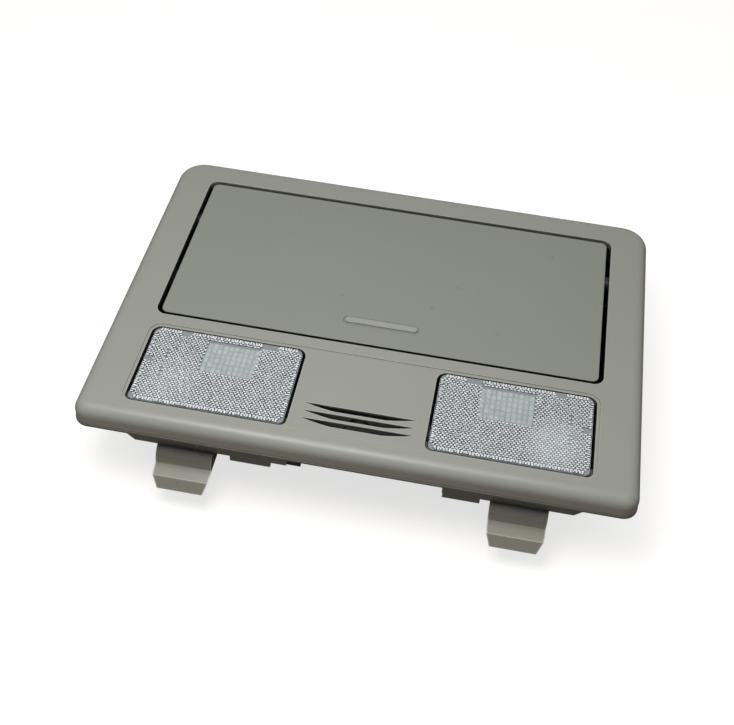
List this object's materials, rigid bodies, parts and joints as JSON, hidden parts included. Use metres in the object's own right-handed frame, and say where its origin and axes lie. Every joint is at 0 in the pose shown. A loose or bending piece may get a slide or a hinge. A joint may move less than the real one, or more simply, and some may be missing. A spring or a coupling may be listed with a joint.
{
  "type": "car dome light console",
  "caption": "Car overhead dome light console with push-to-switch map lamps, a microphone grille and a damped sunglasses bin.",
  "frame": {"origin": "middle of the bounding box, on the flat floor of the bin housing that the console lies on, face up", "axes": "+X along the width to the right lamp, +Y from the lamps towards the bin hinge, +Z out of the face"},
  "size_m": [0.2054, 0.1556, 0.0444],
  "materials": {
    "face_grey": "fine moulded grain",
    "door_grey": "fine moulded grain",
    "tray_grey": "smooth moulded",
    "felt": "short pile",
    "housing_black": "smooth moulded",
    "steel": "ground",
    "spring_steel": "drawn",
    "black_plastic": "smooth moulded",
    "acetal_white": "smooth moulded",
    "rubber": "matt",
    "zinc": "zinc plated",
    "carrier_grey": "smooth moulded",
    "aluminised": "vapour coated",
    "clear_lens": "clear prismatic",
    "bulb_glass": "clear",
    "tungsten": "drawn wire",
    "brass": "stamped",
    "plug_black": "smooth moulded",
    "capsule_steel": "drawn can"
  },
  "bodies": {
    "console": {"bezel": "face_grey", "bin_housing": "housing_black", "hinge_pin_left": "steel", "hinge_pin_right": "steel", "door_spring": "spring_steel", "damper_body": "black_plastic", "latch_body": "black_plastic", "bumper_left": "rubber", "bumper_right": "rubber", "housing_screws": "zinc", "lamp_carrier": "carrier_grey", "reflector_left": "aluminised", "reflector_right": "aluminised", "bulb_glass_left": "bulb_glass", "bulb_glass_right": "bulb_glass", "bulb_filament_left": "tungsten", "bulb_filament_right": "tungsten", "bulb_holder_left": "black_plastic", "bulb_holder_right": "black_plastic", "switch_body_left": "black_plastic", "switch_body_right": "black_plastic", "bus_bar_live": "brass", "bus_bar_ground": "brass", "bulb_link_left": "brass", "bulb_link_right": "brass", "connector": "plug_black", "connector_pins": "brass", "carrier_screws": "zinc", "rear_clip_left": "spring_steel", "rear_clip_right": "spring_steel", "microphone": "capsule_steel", "mic_boot": "rubber"},
    "door": {"glasses_door": "door_grey", "glasses_tray": "tray_grey", "tray_mat": "felt", "door_screws": "zinc"},
    "lens_left": {"lens_left": "clear_lens"},
    "lens_right": {"lens_right": "clear_lens"},
    "switch_plunger_left": {"switch_plunger_left": "acetal_white"},
    "switch_plunger_right": {"switch_plunger_right": "acetal_white"},
    "damper_gear": {"damper_gear": "acetal_white"},
    "latch_plunger": {"latch_plunger": "black_plastic"}
  },
  "joints": [
    {"name": "door_hinge", "type": "hinge", "parent": "console", "child": "door", "pos_m": [0, 0.04478, 0.0374], "axis": [-1, 0, 0], "range_deg": [0, 60]},
    {"name": "damper_spin", "type": "hinge", "parent": "console", "child": "damper_gear", "pos_m": [-0.084, 0.02516, 0.02094], "axis": [1, 0, 0], "range_deg": [0, 215]},
    {"name": "latch_slide", "type": "slide", "parent": "console", "child": "latch_plunger", "axis": [0, 0, 1], "range_m": [0, 0.0031]},
    {"name": "lens_left_press", "type": "hinge", "parent": "console", "child": "lens_left", "pos_m": [-0.0552, -0.06153, 0.04], "axis": [-1, 0, 0], "range_deg": [0, 3], "stiffness_Nm_per_rad": 2},
    {"name": "lens_right_press", "type": "hinge", "parent": "console", "child": "lens_right", "pos_m": [0.0552, -0.06153, 0.04], "axis": [-1, 0, 0], "range_deg": [0, 3], "stiffness_Nm_per_rad": 2},
    {"name": "switch_left_slide", "type": "slide", "parent": "console", "child": "switch_plunger_left", "axis": [0, 0, -1], "range_m": [0, 0.00162]},
    {"name": "switch_right_slide", "type": "slide", "parent": "console", "child": "switch_plunger_right", "axis": [0, 0, -1], "range_m": [0, 0.00162]}
  ],
  "couplings": [
    {"joint": "damper_spin", "follows": "door_hinge", "ratio": 3.5714},
    {"joint": "latch_slide", "follows": "door_hinge", "m_per_rad": 0.0028648},
    {"joint": "switch_left_slide", "follows": "lens_left_press", "m_per_rad": 0.0306},
    {"joint": "switch_right_slide", "follows": "lens_right_press", "m_per_rad": 0.0306}
  ]
}
